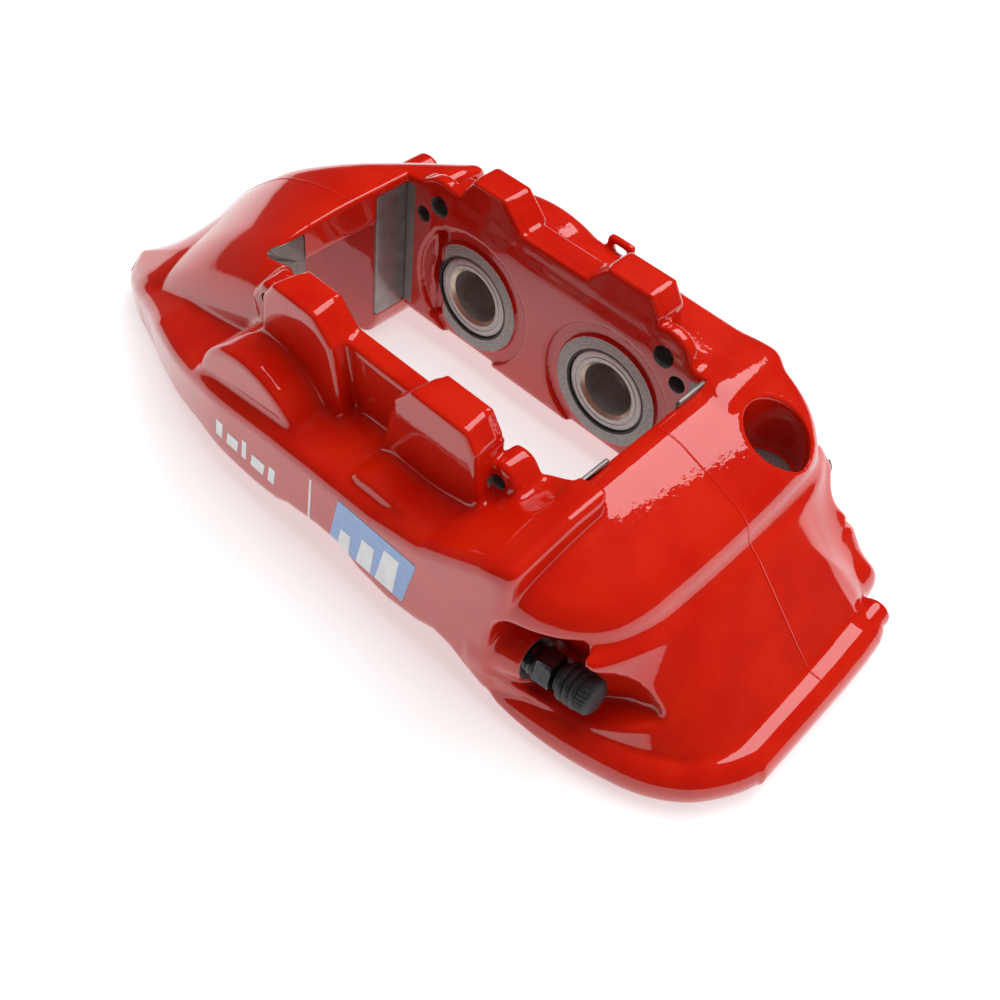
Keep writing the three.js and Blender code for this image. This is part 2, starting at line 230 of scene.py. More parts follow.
def left_bridge(x, y, z, skirt):
    """Flat facets with soft edges, running down to the rim at the left end."""
    edge = (-113, 4.8, 56)
    left = smax(z - 71.2 - 0.06 * (x + 66), plane(x, y, z, (-0.459, -0.272, 0.845), edge), 9)
    left = smax(left, plane(x, y, z, (-0.459, 0.14, 0.845), (-113, 4.8, 62)), 9)
    facet = plane(x, y, z, (-0.587, 0.558, 0.587), (-113, 4.8, 64))
    left = smax(left, facet - 0.5 * np.clip(-114 - x, 0, 40), 7)
    left = smax(left, plane(x, y, z, (-0.721, -0.303, 0.622), edge) - 2.2, 9)
    left = smax(left, plane(x, y, z, (-0.735, 0.12, 0.66), (-113, 4.8, 61)), 6)
    left = smax(left, plane(x, y, z, (-0.278, -0.774, 0.568), (-56, -45, 60.3)), 9)
    left = smax(left, -45.5 - y, 8)
    left = left - 0.34 * np.clip(-117 - x, 0, 40) * np.clip((-8 - y) / 22, 0, 1)
    left = smax(smax(left, y - 62, 8), skirt + 0.5, 5)
    return smax(left, x + 52, 5)


def inboard_half(x, y, z, skirt):
    """Flat-topped behind its ridge, with a foot under each bolt."""
    middle = smax(smax(skirt, z - 67.5, 6), smax(30 - y, slab(x, -47, 76), 5), 5)
    foot = smax(smax(skirt, (z - 30 + 1.06 * (np.abs(x) - 119)) * 0.69, 6), 38 - y, 4)
    return smin(middle, smax(foot, z - 46, 6), 6)


def lobes_and_humps(x, y, z, body):
    for side in (-1, 1):
        lobe = np.hypot(x - side * PISTON_X, z - PISTON_Z) - LOBE_R
        body = smin(body, smax(lobe, slab(y, 40, 66.8), 6), 6)
    crown = smax(np.hypot(x + 21, z - PISTON_Z) - 33, slab(y, 48, 65), 7)
    body = smin(body, crown, 4)
    hump = smax(np.hypot(x + PISTON_X + 5, z - PISTON_Z) - LOBE_R, slab(y, -66, -40), 3)
    body = smax(body, -smax(z - np.interp(x, BOTTOM_X, BOTTOM_Z), y + 38, 4), 5)
    pad = smax(smax(np.hypot(x - PISTON_X + 2, z - PISTON_Z) - 24, slab(y, -66, -40), 3), z - 53.6, 3)
    return smin(smin(body, hump, 2.5), pad, 1.5)


def ridges_and_towers(x, y, z, body):
    """Each ridge and tower has a narrow bead along its edge beside the window."""
    ridge = polygon(x, z, RIDGE)
    bands = [(ridge, -46.5, -35, 2), (ridge, 34.2, 43, 2), (ridge + 0.6, -40, -38.5, 1.2),
             (ridge + 0.6, WINDOW_Y, 36, 1.2)]
    for tower in TOWERS:
        outline = polygon(x, z, tower)
        flare = outline - 0.12 * np.clip(-41.3 - y, 0, 12)
        bands += [(flare, -52.5, -41.3, 2), (outline + 0.6, -44, -38.5, 1.2),
                  (outline + 0.6, WINDOW_Y, 36, 1.2), (outline, 34.2, 45, 2)]
    for side in (-1, 1):
        boss = np.hypot(x - side * PIN_X, z - PIN_Z) - PIN_BOSS_R
        near_boss = np.hypot(x - side * PIN_X, z - PIN_Z + 2) - 8.4
        bands += [(near_boss, -45.2, -34, 2.5), (boss, WINDOW_Y, 37.5, 2)]
    added = None
    for outline, low, high, edge in bands:
        band = smax(outline, slab(y, low, high), edge)
        added = band if added is None else smin(added, band, 0.8)
    return smin(body, added, 3)


def hollows(x, y, z, body):
    for side in (-1, 1):
        bowl = np.sqrt((x - side * 60.5) ** 2 + ((y + 42) * 0.7) ** 2 + ((z - 74) * 0.8) ** 2) - 6.2
        body = smax(body, -bowl, 4)
    window = np.maximum(slab(x, -WINDOW_X, WINDOW_X), slab(y, -WINDOW_Y, WINDOW_Y))
    body = smax(body, -window, 1.6)
    lip = np.maximum(np.maximum(slab(x, -46, 46), slab(y, -38.5, -20)), 66 - z)
    body = smax(body, -lip, 2)
    around = np.hypot(np.abs(x) - PISTON_X, z - PISTON_Z)
    depth = np.abs(y) - WINDOW_Y
    ring = smax(around - SPOT_R, 0.5 - depth, 0.5)
    recess = smax(np.maximum(around - RECESS_R, depth - RECESS_DEPTH), -ring, 1)
    body = smax(body, -recess, 1.2)
    slot = np.maximum(np.hypot(x, z - DISC_Z) - SLOT_R, slab(y, -SLOT_Y, SLOT_Y))
    body = smax(body, -slot, 2)
    under = np.maximum(z - UNDERSIDE_Z, (np.abs(x) - 72) * 0.8 + z * 0.5)
    body = smax(body, -under, 4)
    foot = np.minimum(np.hypot(x - BOLT_X, y - BOLT_Y), np.hypot(x + BOLT_X, y - BOLT_Y)) - 17
    body = smax(body, 0.5 - z - 0.8 * np.clip(1 - foot, 0, 1), 1.5)
    for side in (-1, 1):
        off = np.hypot(x - side * BOLT_X, y - BOLT_Y)
        access = np.maximum(off - BOLT_ACCESS_R, BOLT_SEAT_Z + 0.4 - z)
        body = smax(body, -access, 1)
    return body


def bleed_pockets(x, y, z, body):
    """A scoop round each bleed screw with room to pull its cap, and a tapered boss at its left end."""
    mouth_x, mouth_y, mouth_z = BLEED_MOUTH
    ux, uz = math.cos(BLEED_TILT), math.sin(BLEED_TILT)
    for half in (-1, 1):
        across = half * y
        wall = 53 - 0.5 * np.clip(x - 96, 0, 13) - 0.15 * np.maximum(x - 109, 0) - across
        floor = 17 + 0.25 * np.clip(98 - x, 0, 20) + 0.45 * np.clip(x - 104, 0, 30) - z
        roof = (z - 49.5 + 0.93 * np.maximum(x - 96, 0)) * 0.75
        scoop = smax(smax(floor, wall, 5), smax(73.5 - x, roof, 8), 3)
        along = (x - mouth_x) * ux + (z - mouth_z) * uz
        off = np.sqrt((across - mouth_y) ** 2 + ((z - mouth_z) * ux - (x - mouth_x) * uz) ** 2)
        cap_path = smax(off - 7.2, -along, 2)
        body = smax(body, -smin(scoop, cap_path, 1.5), 2)
        boss = smax(smax(off - 7.4 + 0.2 * along, along, 1.2), 68 - x, 2)
        body = smin(body, boss, 3)
    return body


def casting(x, y, z):
    """Distance to the painted casting, before the machined cuts."""
    skirt = tabled(SKIRT_TABLE, x, y)
    body = smin(right_bridge(x, y, z), outboard_half(x, y, z), 1)
    body = smax(body, skirt, 5)
    body = smin(body, left_bridge(x, y, z, skirt), 2.5)
    body = smin(body, rim(x, y, z, skirt), 1)
    body = smin(body, inboard_half(x, y, z, skirt), 5)
    body = lobes_and_humps(x, y, z, body)
    body = ridges_and_towers(x, y, z, body)
    body = bleed_pockets(x, y, z, body)
    stub = smax(np.hypot(x - GALLERY_X, z - GALLERY_Z) - 5.6, slab(y, 20, GALLERY_END), 1.5)
    body = smin(body, stub, 2)
    inlet = smax(np.hypot(x - INLET_X, z - INLET_Z) - 7.4, slab(y, 40, 66), 2)
    body = smin(body, inlet, 4)
    eye = smax(slab(x, 5.6, 11.6), slab(z, 65, 69.6), 1.5)
    loop = smax(smax(slab(x, 3, 14), slab(z, 55, 72), 2), -eye, 1)
    body = smin(body, smax(loop, slab(y, 59.4, 62.4), 1.2), 1.5)
    body = smax(smax(body, y - BACK_Y, 3), z - TOWER_Z + CLEAR, 1)
    return hollows(x, y, z, body)


VOXEL = 0.95


def link(obj):
    bpy.context.scene.collection.objects.link(obj)
    return obj


def mesh_casting(step):
    low = np.array([-157.0, -75.0, -4.0])
    high = np.array([157.0, 71.0, 89.0])
    count = np.ceil((high - low) / step).astype(int)
    axes = [low[i] + step * np.arange(count[i]) for i in range(3)]
    x, y, z = (axes[0][:, None, None].astype(np.float32), axes[1][None, :, None].astype(np.float32),
               axes[2][None, None, :].astype(np.float32))
    field = np.clip(casting(x, y, z), -3 * step, 3 * step).astype(np.float32)
    grid = openvdb.FloatGrid(3 * step)
    grid.copyFromArray(field)
    points, _, quads = grid.convertToPolygons(isovalue=0.0, adaptivity=0.0)
    return points.astype(float) * step + low, quads[:, ::-1]


def to_surface(points, rounds=2):
    """Move the points along the casting's slope until they lie on it."""
    for _ in range(rounds):
        away = casting(*points.T)
        slope = np.stack([casting(*(points + 0.1 * axis).T) - away for axis in np.eye(3)], 1) / 0.1
        size = np.maximum((slope ** 2).sum(1), 0.2)
        points = points - slope * np.clip(away / size, -0.5, 0.5)[:, None]
    return points


def row_frame(points):
    return (points + (0, MIDPLANE_Y / MM, 0)) * MM


# ---- materials ----------------------------------------------------------------------------------


def material(name, colour, roughness, metallic=0.0, coat=0.0, specular=0.5):
    made = bpy.data.materials.new(name)
    made.use_nodes = True
    shader = made.node_tree.nodes["Principled BSDF"]
    shader.inputs["Base Color"].default_value = (*colour, 1)
    shader.inputs["Roughness"].default_value = roughness
    shader.inputs["Metallic"].default_value = metallic
    shader.inputs["Coat Weight"].default_value = coat
    shader.inputs["Coat Roughness"].default_value = 0.02
    shader.inputs["Coat IOR"].default_value = 1.65
    shader.inputs["Specular IOR Level"].default_value = specular
    return made


def place(made):
    return made.node_tree.nodes.new("ShaderNodeTexCoord").outputs["Object"]


def mottle(made, scale, low, high, spread, detail=3.0):
    """Vary the colour between two tones and the roughness by a spread, from noise of one size."""
    tree = made.node_tree
    shader = tree.nodes["Principled BSDF"]
    noise = tree.nodes.new("ShaderNodeTexNoise")
    noise.inputs["Scale"].default_value = scale
    noise.inputs["Detail"].default_value = detail
    tree.links.new(place(made), noise.inputs["Vector"])
    ramp = tree.nodes.new("ShaderNodeValToRGB")
    ramp.color_ramp.elements[0].position, ramp.color_ramp.elements[1].position = 0.35, 0.65
    ramp.color_ramp.elements[0].color = (*low, 1)
    ramp.color_ramp.elements[1].color = (*high, 1)
    tree.links.new(noise.outputs["Fac"], ramp.inputs["Fac"])
    tree.links.new(ramp.outputs["Color"], shader.inputs["Base Color"])
    rough = tree.nodes.new("ShaderNodeMapRange")
    centre = shader.inputs["Roughness"].default_value
    rough.inputs["To Min"].default_value = centre - spread
    rough.inputs["To Max"].default_value = centre + spread
    tree.links.new(noise.outputs["Fac"], rough.inputs["Value"])
    tree.links.new(rough.outputs["Result"], shader.inputs["Roughness"])


def bumped(made, height, depth, sockets=("Normal",)):
    tree = made.node_tree
    bump = tree.nodes.new("ShaderNodeBump")
    bump.inputs["Strength"].default_value = 1.0
    bump.inputs["Distance"].default_value = depth
    tree.links.new(height, bump.inputs["Height"])
    for socket in sockets:
        tree.links.new(bump.outputs["Normal"], tree.nodes["Principled BSDF"].inputs[socket])


def grained(made, scale, depth, sockets=("Normal",)):
    noise = made.node_tree.nodes.new("ShaderNodeTexNoise")
    noise.inputs["Scale"].default_value = scale
    noise.inputs["Detail"].default_value = 2.0
    made.node_tree.links.new(place(made), noise.inputs["Vector"])
    bumped(made, noise.outputs["Fac"], depth, sockets)


def tool_marks(made, pitch, depth, centre=(0.0, 0.0)):
    """Fine rings about the Y axis, or about a mirrored pair of axes when a centre is given."""
    tree = made.node_tree

    def maths(kind, a, b=None):
        node = tree.nodes.new("ShaderNodeMath")
        node.operation = kind
        for socket, value in zip(node.inputs, (a, b)):
            if isinstance(value, (int, float)):
                socket.default_value = value
            elif value is not None:
                tree.links.new(value, socket)
        return node.outputs[0]

    split = tree.nodes.new("ShaderNodeSeparateXYZ")
    tree.links.new(place(made), split.inputs[0])
    across = split.outputs["X"]
    if centre[0]:
        across = maths("SUBTRACT", maths("ABSOLUTE", across), centre[0])
    up = maths("SUBTRACT", split.outputs["Z"], centre[1])
    radius = maths("SQRT", maths("ADD", maths("MULTIPLY", across, across), maths("MULTIPLY", up, up)))
    rings = maths("SINE", maths("MULTIPLY", radius, 2 * math.pi / pitch))
    bumped(made, rings, depth)


PAINT = material("red_gloss", (0.58, 0.010, 0.0012), 0.4, coat=1.0, specular=0.05)
mottle(PAINT, 60, (0.54, 0.007, 0.0009), (0.61, 0.013, 0.0016), 0.03)
grained(PAINT, 420, 0.00002, ("Normal", "Coat Normal"))
MACHINED = material("machined", (0.30, 0.30, 0.285), 0.5, metallic=0.6)
mottle(MACHINED, 900, (0.25, 0.25, 0.24), (0.36, 0.36, 0.34), 0.06)
tool_marks(MACHINED, 0.0011, 0.00003, (PISTON_X * MM, PISTON_Z * MM))
TURNED = material("turned_steel", (0.46, 0.46, 0.44), 0.45, metallic=0.6)
mottle(TURNED, 500, (0.43, 0.43, 0.41), (0.50, 0.50, 0.48), 0.05)
tool_marks(TURNED, 0.0009, 0.000012)
GOLD = material("piston_lip", (0.60, 0.54, 0.43), 0.35, metallic=0.7)
mottle(GOLD, 400, (0.56, 0.50, 0.39), (0.66, 0.58, 0.44), 0.05)
PLATE = material("plate_steel", (0.32, 0.315, 0.30), 0.4, metallic=0.85)
mottle(PLATE, 220, (0.27, 0.265, 0.25), (0.37, 0.365, 0.35), 0.08)
grained(PLATE, 1400, 0.00001)
OXIDE = material("black_oxide", (0.035, 0.035, 0.04), 0.25, metallic=0.8, coat=0.4)
mottle(OXIDE, 700, (0.025, 0.025, 0.03), (0.06, 0.06, 0.068), 0.06)
RUBBER = material("rubber", (0.016, 0.016, 0.017), 0.5)
mottle(RUBBER, 900, (0.012, 0.012, 0.013), (0.026, 0.026, 0.027), 0.08)
grained(RUBBER, 2500, 0.00001)
ZINC = material("plug_steel", (0.45, 0.44, 0.41), 0.32, metallic=0.9)
mottle(ZINC, 800, (0.38, 0.37, 0.34), (0.52, 0.51, 0.48), 0.07)
WHITE_INK = material("white_ink", (0.8, 0.82, 0.84), 0.3, coat=0.8)
mottle(WHITE_INK, 300, (0.76, 0.78, 0.8), (0.85, 0.87, 0.88), 0.03)
BLUE_INK = material("blue_ink", (0.10, 0.30, 0.68), 0.3, coat=0.8)
mottle(BLUE_INK, 300, (0.08, 0.26, 0.62), (0.12, 0.34, 0.74), 0.03)


# ---- the casting, meshed and machined -------------------------------------------------------------


def new_piece(name, points, faces, *materials):
    mesh = bpy.data.meshes.new(name)
    mesh.from_pydata([tuple(p) for p in points], [], [tuple(f) for f in faces])
    for made in materials:
        mesh.materials.append(made)
    mesh.validate()
    mesh.shade_smooth()
    return link(bpy.data.objects.new(name, mesh))


def lathe(profile, steps=72, shape=None):
    """Points and faces of a closed turned solid about Z from (along, radius) pairs that start and
    end on the axis; shape changes the radius by angle."""
    inner = profile[1:-1]
    points = []
    for along, radius in inner:
        for i in range(steps):
            angle = 2 * math.pi * i / steps
            r = shape(along, radius, angle) if shape else radius
            points.append((r * math.cos(angle), r * math.sin(angle), along))
    faces = []
    for row in range(len(inner) - 1):
        for i in range(steps):
            a, b = row * steps + i, row * steps + (i + 1) % steps
            faces.append((a, b, b + steps, a + steps))
    first, last = len(points), len(points) + 1
    points += [(0, 0, profile[0][0]), (0, 0, profile[-1][0])]
    top = (len(inner) - 1) * steps
    for i in range(steps):
        j = (i + 1) % steps
        faces.append((first, j, i))
        faces.append((last, top + i, top + j))
    return np.array(points, float), faces


def aim(points, start, direction):
    """Turn millimetre points from the Z axis onto a direction through a start point."""
    turn = Vector((0, 0, 1)).rotation_difference(Vector(direction)).to_matrix()
    return points @ np.array(turn).T + start


def cutter(profile, start, direction, steps=96):
    points, faces = lathe(profile, steps)
    return new_piece("cutter", row_frame(aim(points, start, direction)), faces, PAINT, MACHINED)


def cut_box(low, high):
    corners = [(x, y, z) for x in (low[0], high[0]) for y in (low[1], high[1])
               for z in (low[2], high[2])]
    faces = [(0, 1, 3, 2), (4, 6, 7, 5), (0, 4, 5, 1), (2, 3, 7, 6), (0, 2, 6, 4), (1, 5, 7, 3)]
    return new_piece("cutter", row_frame(np.array(corners, float)), faces, PAINT, MACHINED)


def hole(radius, start, direction, depth, above=3.0):
    """A drilled hole with the drill's cone at its end."""
    profile = [(-above, 0), (-above, radius), (depth, radius), (depth + radius * 0.5, 0)]
    return cutter(profile, start, direction, 48)


BORE_PROFILE = [(-2, 0), (-2, SPOT_R + 0.4), (0.8, SPOT_R + 0.4), (0.8, LIP_R), (1.5, LIP_R),
                (1.5, DUST_R), (3.4, DUST_R), (3.4, BORE_R),
                (8, BORE_R), (8, SEAL_R), (12, SEAL_R), (12, BORE_R), (24.5, BORE_R), (24.5, 0)]


def machining():
    """Every machined cut in the casting."""
    cuts = []
    bleed = (math.cos(BLEED_TILT), 0, math.sin(BLEED_TILT))
    rim_r, shank_r, seat_r = 7.2, 6.3, 11.2
    bolt_hole = [(-2, 0), (-2, seat_r), (0, seat_r), (0, rim_r), (rim_r - shank_r, shank_r),
                 (BOLT_SEAT_Z - rim_r + shank_r, shank_r), (BOLT_SEAT_Z, rim_r),
                 (BOLT_SEAT_Z + 2, rim_r), (BOLT_SEAT_Z + 2, 0)]
    for side in (-1, 1):
        for half in (-1, 1):
            wall = (side * PISTON_X, half * WINDOW_Y, PISTON_Z)
            cuts.append(cutter(BORE_PROFILE, wall, (0, half, 0)))
            near, far = sorted((half * SLOT_Y, half * WINDOW_Y))
            left, right = sorted((side * (WINDOW_X - 4), side * (WINDOW_X + PLATE_T)))
            cuts.append(cut_box((left, near, PLATE_LOW), (right, far, PLATE_HIGH)))
            pin = (side * PIN_X, half * WINDOW_Y, PIN_Z)
            if half > 0:
                cuts.append(cutter([(-1, 0), (-1, PIN_R), (5.5, PIN_R), (5.5, 0)], pin, (0, 1, 0), 48))
            else:
                cuts.append(hole(PIN_TIP_R, pin, (0, -1, 0), 16, above=1))
        cuts.append(hole(SPRING_R, (side * SPRING_X, WINDOW_Y, SPRING_Z), (0, 1, 0), 10))
        cuts.append(cutter(bolt_hole, (side * BOLT_X, BOLT_Y, BOLT_SEAT_Z), (0, 0, -1), 64))
    for half in (-1, 1):
        mouth = (BLEED_MOUTH[0], half * BLEED_MOUTH[1], BLEED_MOUTH[2])
        cuts.append(cutter([(-3, 0), (-3, 7.2), (0, 7.2), (0.9, 5.1), (15, 5.1), (18, 0)], mouth,
                           (-bleed[0], 0, -bleed[2]), 48))
    cuts.append(cutter([(-2, 0), (-2, 7.2), (0, 7.2), (0, 5), (1, 4), (18, 4), (20, 0)],
                       (INLET_X, 65.9, INLET_Z + 1.5), (0, -1, 0), 48))
    cuts.append(hole(3.5, (GALLERY_X, GALLERY_END, GALLERY_Z), (0, -1, 0), 9))
    cuts.append(cut_box((-160, -80, -5), (160, 80, 0)))
    return cuts


def make_casting():
    points, quads = mesh_casting(VOXEL)
    points = to_surface(points)
    body = new_piece("caliper_casting", row_frame(points), quads, PAINT, MACHINED)
    cuts = machining()
    for cut in cuts:
        cut.data.polygons.foreach_set("material_index", [1] * len(cut.data.polygons))
        change = body.modifiers.new("cut", "BOOLEAN")
        change.object, change.operation, change.solver = cut, "DIFFERENCE", "MANIFOLD"
    evaluated = body.evaluated_get(bpy.context.evaluated_depsgraph_get())
    done = bpy.data.meshes.new_from_object(evaluated)
    body.modifiers.clear()
    body.data = done
    for cut in cuts:
        bpy.data.objects.remove(cut)
    crisp_edges(body.data)
    return body


def crisp_edges(mesh):
    """Keep an edge sharp where machining meets paint and where two machined faces turn. Faces
    carry material 0 for paint and 1 for machining, so an edge between the two adds up to 1."""
    work = bmesh.new()
    work.from_mesh(mesh)
    for face in work.faces:
        face.smooth = True
    for edge in work.edges:
        if len(edge.link_faces) == 2:
            a, b = edge.link_faces
            cut = a.material_index + b.material_index
            edge.smooth = not (cut == 1 or cut == 2 and edge.calc_face_angle() > 0.5)
    work.to_mesh(mesh)
    work.free()


def own(piece, slot, body, *nodes):
    """Hang a piece on a body, in place of the CAD nodes it shows. The slot argument is not used."""
    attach(piece, body)
    for node in nodes:
        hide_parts(node)


casting_piece = make_casting()
own(casting_piece, "red_paint", "caliper", "caliper_body")


# ---- turned and bevelled pieces -----------------------------------------------------------------


def turned(name, profile, start, direction, *materials, steps=96, shape=None, sharp=0.6):
    points, faces = lathe(profile, steps, shape)
    piece = new_piece(name, row_frame(aim(points, start, direction)), faces, *materials)
    crease(piece.data, sharp)
    return piece


def crease(mesh, sharp):
    work = bmesh.new()
    work.from_mesh(mesh)
    bmesh.ops.recalc_face_normals(work, faces=work.faces)
    for edge in work.edges:
        edge.smooth = edge.calc_face_angle(0) < sharp
    work.to_mesh(mesh)
    work.free()


def ring(name, section, start, direction, steps=96):
    """A closed rubber ring from a closed (along, radius) section."""
    angles = [2 * math.pi * i / steps for i in range(steps)]
    points = np.array([(r * math.cos(a), r * math.sin(a), along) for along, r in section for a in angles])
    rows = len(section)
    faces = [(row * steps + i, row * steps + (i + 1) % steps,
              (row + 1) % rows * steps + (i + 1) % steps, (row + 1) % rows * steps + i)
             for row in range(rows) for i in range(steps)]
    piece = new_piece(name, row_frame(aim(points, start, direction)), faces, RUBBER)
    crease(piece.data, 1.0)
    return piece


DUST_SECTION = [(0.9, 16.0), (0.85, 16.3), (0.95, 16.6), (1.2, 16.7), (1.62, 16.72), (1.75, 17.8),
                (2.0, 17.95), (3.1, 17.95), (3.3, 17.75), (3.3, 16.2), (3.1, 15.93), (1.2, 15.93)]
SQUARE_SECTION = [(8.1, 16.2), (8.1, 18.8), (8.4, 19.1), (11.6, 19.1), (11.9, 18.8), (11.9, 16.2),
                  (11.6, 15.93), (8.4, 15.93)]
PISTON_PROFILE = [(18, 0), (18, 6.4), (17.6, 8.4), (16.4, 9.7), (15, 10.2), (1.3, 10.2), (0.35, 11.2),
                  (0.1, 11.45), (0, 11.8), (0, 12.9), (0.22, 13.1), (0.22, 13.35), (0, 13.55),
                  (0, 15.1), (0.1, 15.4), (0.5, 15.78),
                  (0.9, 15.875), (21.2, 15.875), (22, 15), (22, 0)]
for half, half_name in ((-1, "outboard"), (1, "inboard")):
    for side, side_name in ((-1, "left"), (1, "right")):
        wall = np.array((side * PISTON_X, half * WINDOW_Y, PISTON_Z))
        outward = (0, half, 0)
        end = f"{half_name}_{side_name}"
        face = wall + (0, half * 1.5, 0)
        piston = turned(f"turned_piston_{end}", PISTON_PROFILE, face, outward, TURNED, GOLD, sharp=0.5)
        for facet in piston.data.polygons:
            spot = facet.center / MM - Vector((wall[0], face[1] + MIDPLANE_Y / MM, wall[2]))
            on_chamfer = 10.3 < math.hypot(spot.x, spot.z) < 11.5 and abs(spot.y) < 2
            facet.material_index = int(on_chamfer)
        own(piston, "piston_metal", f"piston_{half_name[0]}{side_name[0]}", f"piston_{end}")
        own(ring(f"dust_lip_{end}", DUST_SECTION, wall, outward), "seal_rubber", "caliper",
            f"dust_seal_{end}")
        own(ring(f"square_seal_{end}", SQUARE_SECTION, wall, outward), "seal_rubber", "caliper",
            f"pressure_seal_{end}")


def bevelled_plate(name, low, high, bevel):
    """A stamped plate with rounded corners and a broken edge all round."""
    work = bmesh.new()
    bmesh.ops.create_cube(work, size=1)
    middle, size = (np.array(low) + high) / 2, np.array(high) - low
    for vert in work.verts:
        vert.co = Vector((np.array(vert.co) * size + middle + (0, MIDPLANE_Y / MM, 0)) * MM)
    across = [e for e in work.edges if abs(e.verts[0].co.x - e.verts[1].co.x) > 0.5 * size[0] * MM]
    bmesh.ops.bevel(work, geom=across, offset=1.2 * MM, segments=5, profile=0.5, affect="EDGES")
    rims = [e for e in work.edges if abs(e.calc_face_angle(0)) > 0.9]
    bmesh.ops.bevel(work, geom=rims, offset=bevel * MM, segments=2, profile=0.5, affect="EDGES")
    mesh = bpy.data.meshes.new(name)
    work.to_mesh(mesh)
    work.free()
    mesh.materials.append(PLATE)
    mesh.shade_smooth()
    crease(mesh, 0.5)
    return link(bpy.data.objects.new(name, mesh))


for half, half_name in ((-1, "outboard"), (1, "inboard")):
    for side, side_name in ((-1, "left"), (1, "right")):
        node = f"abutment_plate_{half_name}_{side_name}"
        low, high = (np.array(v) / MM - (0, MIDPLANE_Y / MM, 0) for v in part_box(node))
        own(bevelled_plate(f"steel_plate_{half_name}_{side_name}", low, high, 0.22), "abutment_steel",
            "caliper", node)

THREAD_R, THREAD_PITCH = 5.0, 1.5
HEX_R = 5.5
HEX_FROM, HEX_TO = 3.4, 9.4


def screw_shape(along, radius, angle):
    """A thread up to the collar, then a chamfered hexagon, then a plain neck."""
    if -8.5 < along < 2.2:
        turn = (along / THREAD_PITCH - angle / (2 * math.pi)) % 1
        return radius - 0.55 * abs(2 * turn - 1)
    if HEX_FROM <= along <= HEX_TO:
        facet = HEX_R / math.cos((angle + math.pi / 6) % (math.pi / 3) - math.pi / 6)
        return min(facet, radius)
    return radius


def cap_shape(along, radius, angle):
    """Grip ribs round the closed end."""
    return radius + 0.16 * math.cos(28 * angle) if 18.6 < along < 21.6 else radius


SCREW_PROFILE = ([(-13, 0), (-13, 2), (-10, 4), (-8.6, 4.45)]
                 + [(-8.4 + 0.25 * i, THREAD_R) for i in range(43)]
                 + [(2.3, 4.7), (2.4, 4.75), (2.5, 5.6), (3.3, 5.9), (3.4, 5.7), (3.6, 6.0), (4.0, 6.36),
                    (8.8, 6.36), (9.2, 6.0), (9.4, 5.7), (9.5, 4.2), (9.7, 3.6), (13, 3.6), (15, 2.6),
                    (17.5, 3.4), (19.5, 2.4), (19.5, 0)])
RIB = [(0, 5.3), (0.25, 5.85), (0.7, 6.15), (1.2, 6.2), (1.7, 6.1), (2.1, 5.8), (2.35, 5.3)]
CAP_PROFILE = ([(19.9, 0), (19.9, 3.9), (10.3, 3.9), (10.3, 4.5), (11.2, 4.6), (11.5, 5.2)]
               + [(start + along, r) for start in (11.8, 14.2, 16.5) for along, r in RIB]
               + [(18.7, 5.5), (18.9, 5.75), (21.4, 5.6), (22.0, 5.2), (22.6, 4.4), (22.95, 2.6),
                  (23, 0)])
for half, half_name, tag in ((-1, "outboard", "out"), (1, "inboard", "in")):
    mouth = (BLEED_MOUTH[0], half * BLEED_MOUTH[1], BLEED_MOUTH[2])
    along = (math.cos(BLEED_TILT), 0, math.sin(BLEED_TILT))
    screw = turned(f"threaded_bleeder_{half_name}", SCREW_PROFILE, mouth, along, OXIDE, steps=72,
                   shape=screw_shape, sharp=0.45)
    own(screw, "black_oxide", f"bleeder_{tag}", f"bleed_screw_{half_name}")
    cap = turned(f"rubber_cap_{half_name}", CAP_PROFILE, mouth, along, RUBBER, steps=168,
                 shape=cap_shape, sharp=0.9)
    own(cap, "cap_rubber", f"cap_{tag}", f"bleed_cap_{half_name}")


def socket(along, radius, angle):
    """A hexagonal key socket in the plug's face."""
    if radius < 2.2:
        return radius / math.cos((angle + math.pi / 6) % (math.pi / 3) - math.pi / 6)
    return radius


PLUG_PROFILE = [(-8, 0), (-8, 3.0), (-7.6, 3.4), (-0.5, 3.4), (-0.1, 3.05), (0, 2.8), (0, 2.35),
                (-0.35, 1.75),
                (-3.2, 1.7), (-3.9, 0)]
plug = turned("socket_plug", PLUG_PROFILE, (GALLERY_X, GALLERY_END, GALLERY_Z), (0, 1, 0), ZINC,
              steps=72, shape=socket)
own(plug, "plug_steel", "caliper", "gallery_plug")

# ---- painted marks and the parting line ---------------------------------------------------------


def front_face(x, z):
    """How far out the outboard face stands at each point."""
    y = np.full(x.shape, -76.0)
    for _ in range(14):
        y = y + 0.9 * casting(x, y, z)
    return y


def grid_faces(rows, columns):
    """Faces of a closed sheet: a front grid, a back grid and the band joining their edges."""
    def at(layer, r, c):
        return (layer * rows + r) * columns + c

    faces = []
    for r in range(rows - 1):
        for c in range(columns - 1):
            faces.append((at(0, r, c), at(0, r, c + 1), at(0, r + 1, c + 1), at(0, r + 1, c)))
            faces.append((at(1, r, c), at(1, r + 1, c), at(1, r + 1, c + 1), at(1, r, c + 1)))
    loop = ([(0, c) for c in range(columns)] + [(r, columns - 1) for r in range(1, rows)]
            + [(rows - 1, c) for c in range(columns - 2, -1, -1)]
            + [(r, 0) for r in range(rows - 2, 0, -1)])
    for (r1, c1), (r2, c2) in zip(loop, loop[1:] + loop[:1]):
        faces.append((at(0, r1, c1), at(1, r1, c1), at(1, r2, c2), at(0, r2, c2)))
    return faces


